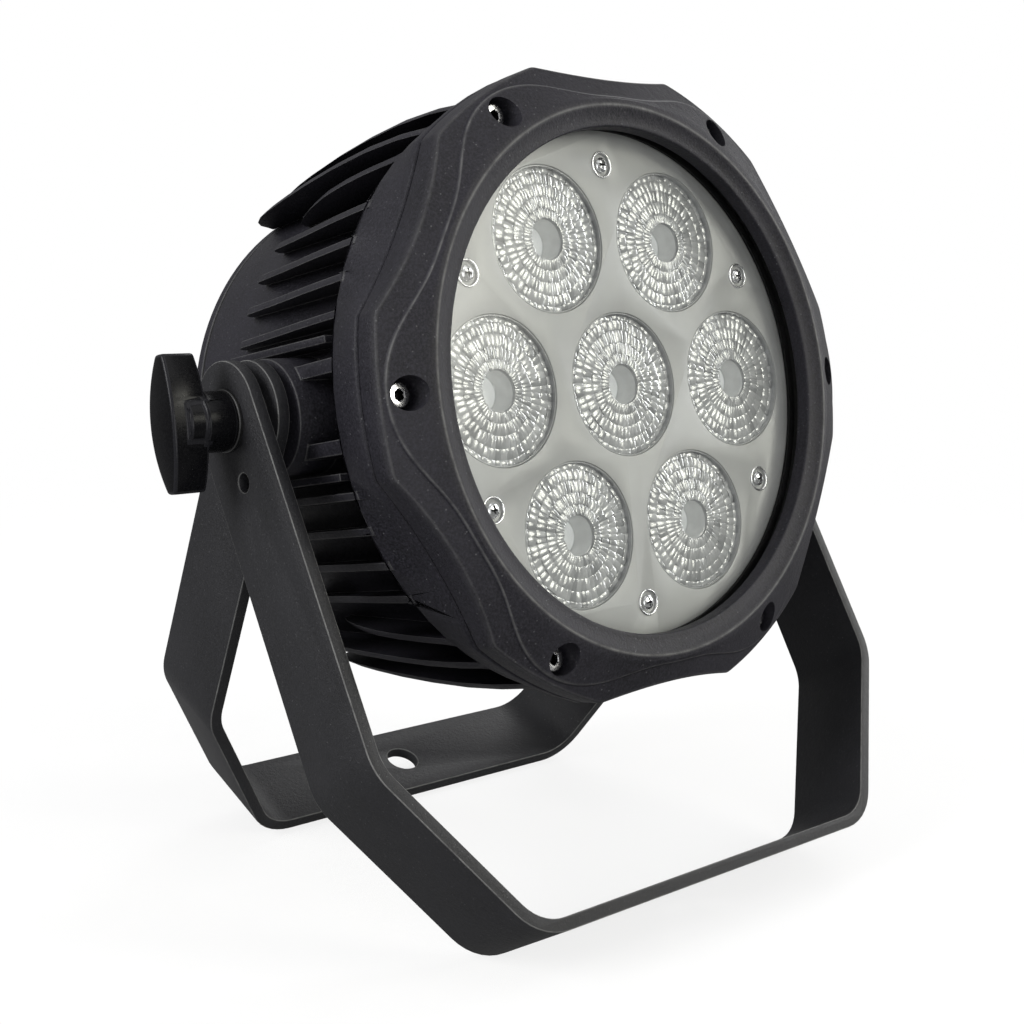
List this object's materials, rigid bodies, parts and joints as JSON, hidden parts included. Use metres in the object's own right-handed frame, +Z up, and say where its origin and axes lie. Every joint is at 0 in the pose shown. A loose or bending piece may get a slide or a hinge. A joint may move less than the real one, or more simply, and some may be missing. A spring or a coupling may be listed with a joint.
{
  "type": "par can light",
  "caption": "Stage wash light with a finned die-cast head, faceted collimator lenses behind a round glass, and a folding double bracket with clamp knobs.",
  "frame": {"origin": "on the floor, at the bottom centre of the whole object's box", "axes": "+X to the right seen from the front, +Y towards the back, +Z up; the lamp faces -Y and up"},
  "size_m": [0.245, 0.1924, 0.237],
  "materials": {
    "body_coat": "fine-textured black powder coat on die-cast aluminium",
    "bracket_coat": "fine-textured black powder coat on steel strip",
    "knob_plastic": "moulded black nylon, semi-gloss with a fine spark texture",
    "button_plastic": "moulded black plastic",
    "dark_plastic": "moulded black nylon",
    "black_rubber": "matt black rubber",
    "bright_steel": "bright stainless steel",
    "clear_glass": "clear toughened glass",
    "clear_lens": "clear moulded acrylic with faceted front",
    "grey_plate": "matt pale grey",
    "white_board": "white solder mask on aluminium",
    "emitter": "clear dome over the emitter",
    "green_board": "green solder mask",
    "copper_winding": "varnished windings and ferrite core",
    "capacitor_sleeve": "dark sleeve over aluminium cans",
    "bare_aluminium": "plain extruded aluminium",
    "tinted_window": "dark tinted acrylic",
    "insert_brass": "turned brass"
  },
  "bodies": {
    "front_bracket": {"front_bracket": "bracket_coat", "outer_washer_left": "black_rubber", "outer_washer_right": "black_rubber"},
    "rear_bracket": {"rear_bracket": "bracket_coat"},
    "head": {"inner_washer_left": "black_rubber", "inner_washer_right": "black_rubber", "heatsink_body": "body_coat", "front_bezel": "body_coat", "bezel_gasket": "black_rubber", "bezel_screws": "bright_steel", "front_glass": "clear_glass", "glass_seal": "black_rubber", "lens_plate": "grey_plate", "lens_plate_screws": "bright_steel", "lens_center": "clear_lens", "lens_1": "clear_lens", "lens_2": "clear_lens", "lens_3": "clear_lens", "lens_4": "clear_lens", "lens_5": "clear_lens", "lens_6": "clear_lens", "lens_holders": "dark_plastic", "led_board": "white_board", "led_emitters": "emitter", "led_board_screws": "bright_steel", "driver_board": "green_board", "driver_standoffs": "bright_steel", "driver_transformer": "copper_winding", "driver_capacitors": "capacitor_sleeve", "driver_heat_bar": "bare_aluminium", "control_board": "green_board", "display_module": "dark_plastic", "display_window": "tinted_window", "button_switches": "dark_plastic", "rear_cover": "body_coat", "rear_cover_gasket": "black_rubber", "rear_cover_screws": "bright_steel", "gland_bodies": "dark_plastic", "gland_seals": "black_rubber", "gland_nuts": "dark_plastic", "gland_locknuts": "dark_plastic", "vent_plug": "dark_plastic", "safety_loop": "bright_steel", "safety_loop_screws": "bright_steel", "pivot_inserts": "insert_brass"},
    "knob_washer_left": {"knob_washer_left": "dark_plastic"},
    "knob_left": {"knob_left": "knob_plastic", "knob_stud_left": "bright_steel"},
    "knob_washer_right": {"knob_washer_right": "dark_plastic"},
    "knob_right": {"knob_right": "knob_plastic", "knob_stud_right": "bright_steel"},
    "menu_button_1": {"menu_button_1": "button_plastic"},
    "menu_button_2": {"menu_button_2": "button_plastic"},
    "menu_button_3": {"menu_button_3": "button_plastic"},
    "menu_button_4": {"menu_button_4": "button_plastic"}
  },
  "joints": [
    {"name": "head_tilt", "type": "hinge", "parent": "front_bracket", "child": "head", "pos_m": [0, 0.0004, 0.13902], "axis": [1, 0, 0], "range_deg": [-77.5, 102.5]},
    {"name": "rear_bracket_fold", "type": "hinge", "parent": "front_bracket", "child": "rear_bracket", "pos_m": [0, 0.0004, 0.13902], "axis": [1, 0, 0], "range_deg": [-53.6, 126.4]},
    {"name": "knob_left_travel", "type": "slide", "parent": "head", "child": "knob_washer_left", "axis": [-1, 0, 0], "range_m": [0, 0.0025]},
    {"name": "knob_left_turn", "type": "hinge", "parent": "knob_washer_left", "child": "knob_left", "pos_m": [-0.108, 0.0004, 0.13902], "axis": [-1, 0, 0], "range_deg": [0, 723]},
    {"name": "knob_right_travel", "type": "slide", "parent": "head", "child": "knob_washer_right", "axis": [1, 0, 0], "range_m": [0, 0.0025]},
    {"name": "knob_right_turn", "type": "hinge", "parent": "knob_washer_right", "child": "knob_right", "pos_m": [0.108, 0.0004, 0.13902], "axis": [1, 0, 0], "range_deg": [0, 723]},
    {"name": "menu_button_1_press", "type": "slide", "parent": "head", "child": "menu_button_1", "axis": [0, -0.9763, 0.2164], "range_m": [0, 0.0007], "stiffness_N_per_m": 400},
    {"name": "menu_button_2_press", "type": "slide", "parent": "head", "child": "menu_button_2", "axis": [0, -0.9763, 0.2164], "range_m": [0, 0.0007], "stiffness_N_per_m": 400},
    {"name": "menu_button_3_press", "type": "slide", "parent": "head", "child": "menu_button_3", "axis": [0, -0.9763, 0.2164], "range_m": [0, 0.0007], "stiffness_N_per_m": 400},
    {"name": "menu_button_4_press", "type": "slide", "parent": "head", "child": "menu_button_4", "axis": [0, -0.9763, 0.2164], "range_m": [0, 0.0007], "stiffness_N_per_m": 400}
  ],
  "couplings": [
    {"joint": "knob_left_turn", "follows": "knob_left_travel", "rad_per_m": 5026.5},
    {"joint": "knob_right_turn", "follows": "knob_right_travel", "rad_per_m": 5026.5}
  ]
}
